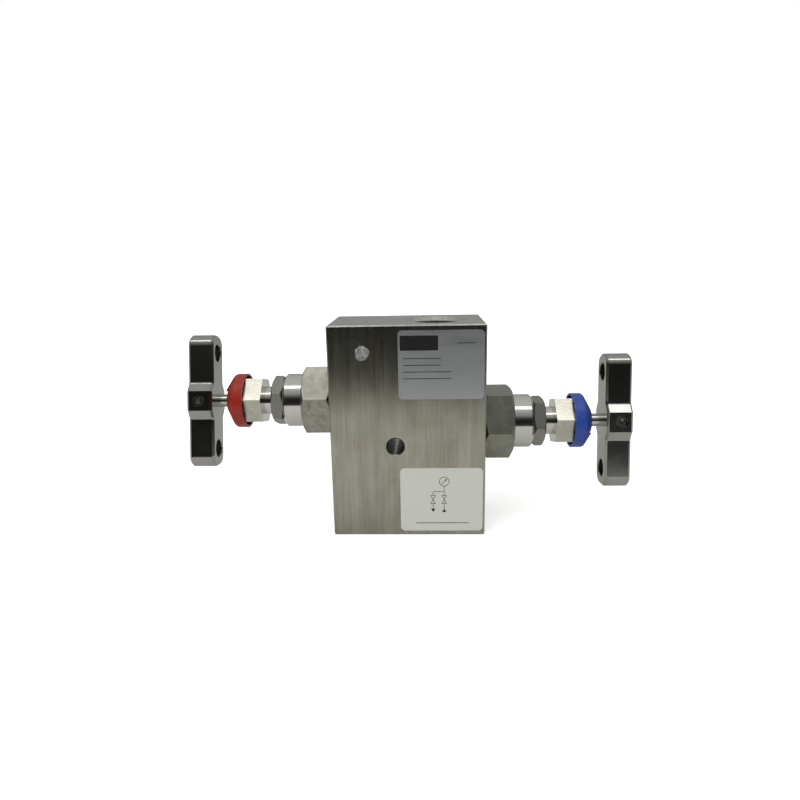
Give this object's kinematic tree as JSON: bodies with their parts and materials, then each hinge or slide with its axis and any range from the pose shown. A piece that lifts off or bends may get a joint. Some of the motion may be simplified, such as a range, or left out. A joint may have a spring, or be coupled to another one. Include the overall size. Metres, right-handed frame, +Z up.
{
  "type": "instrument valve manifold",
  "caption": "Block and bleed instrument manifold: a steel block with pipe ports and a screwed-in needle valve with a T-bar handle on each side.",
  "frame": {"origin": "centre of the block's bottom face", "axes": "+X along the valve stems towards the isolate valve, +Y from the labelled front face to the back, +Z up towards the gauge port"},
  "size_m": [0.188, 0.0383, 0.0889],
  "materials": {
    "block_stainless": "brushed lengthwise",
    "bonnet_stainless": "sawn hex, polished barrel",
    "adjuster_stainless": "bright drawn",
    "lock_nut_stainless": "tumbled, matte",
    "handle_stainless": "machined, satin",
    "spindle_stainless": "polished",
    "tip_stainless": "ground",
    "bush_stainless": "turned",
    "seal_metal": "soft annealed",
    "screw_steel": "plain",
    "ptfe": "moulded",
    "silver_film": "satin film",
    "white_film": "satin film",
    "red_plastic": "moulded, soft sheen",
    "blue_plastic": "moulded, soft sheen"
  },
  "bodies": {
    "manifold": {"body_block": "block_stainless", "data_label": "silver_film", "circuit_label": "white_film", "isolate_bonnet": "bonnet_stainless", "isolate_bonnet_seal": "seal_metal", "isolate_packing_rings": "ptfe", "isolate_thrust_bush": "bush_stainless", "isolate_gland_adjuster": "adjuster_stainless", "isolate_lock_nut": "lock_nut_stainless", "isolate_dust_cap": "blue_plastic", "bleed_bonnet": "bonnet_stainless", "bleed_bonnet_seal": "seal_metal", "bleed_packing_rings": "ptfe", "bleed_thrust_bush": "bush_stainless", "bleed_gland_adjuster": "adjuster_stainless", "bleed_lock_nut": "lock_nut_stainless", "bleed_dust_cap": "red_plastic"},
    "isolate_tip": {"isolate_needle_tip": "tip_stainless"},
    "isolate_spindle": {"isolate_stem": "spindle_stainless", "isolate_handle": "handle_stainless", "isolate_set_screw": "screw_steel"},
    "bleed_tip": {"bleed_needle_tip": "tip_stainless"},
    "bleed_spindle": {"bleed_stem": "spindle_stainless", "bleed_handle": "handle_stainless", "bleed_set_screw": "screw_steel"}
  },
  "joints": [
    {"name": "isolate_travel", "type": "slide", "parent": "manifold", "child": "isolate_tip", "axis": [1, 0, 0], "range_m": [-0.004, 0]},
    {"name": "isolate_turn", "type": "hinge", "parent": "isolate_tip", "child": "isolate_spindle", "pos_m": [0.0886, 0, 0.0446], "axis": [1, 0, 0], "range_deg": [-1440, 0]},
    {"name": "bleed_travel", "type": "slide", "parent": "manifold", "child": "bleed_tip", "axis": [-1, 0, 0], "range_m": [-0.004, 0]},
    {"name": "bleed_turn", "type": "hinge", "parent": "bleed_tip", "child": "bleed_spindle", "pos_m": [-0.0886, 0, 0.0547], "axis": [-1, 0, 0], "range_deg": [-1440, 0]}
  ],
  "couplings": [
    {"joint": "isolate_travel", "follows": "isolate_turn", "m_per_rad": 0.00015915},
    {"joint": "bleed_travel", "follows": "bleed_turn", "m_per_rad": 0.00015915}
  ]
}
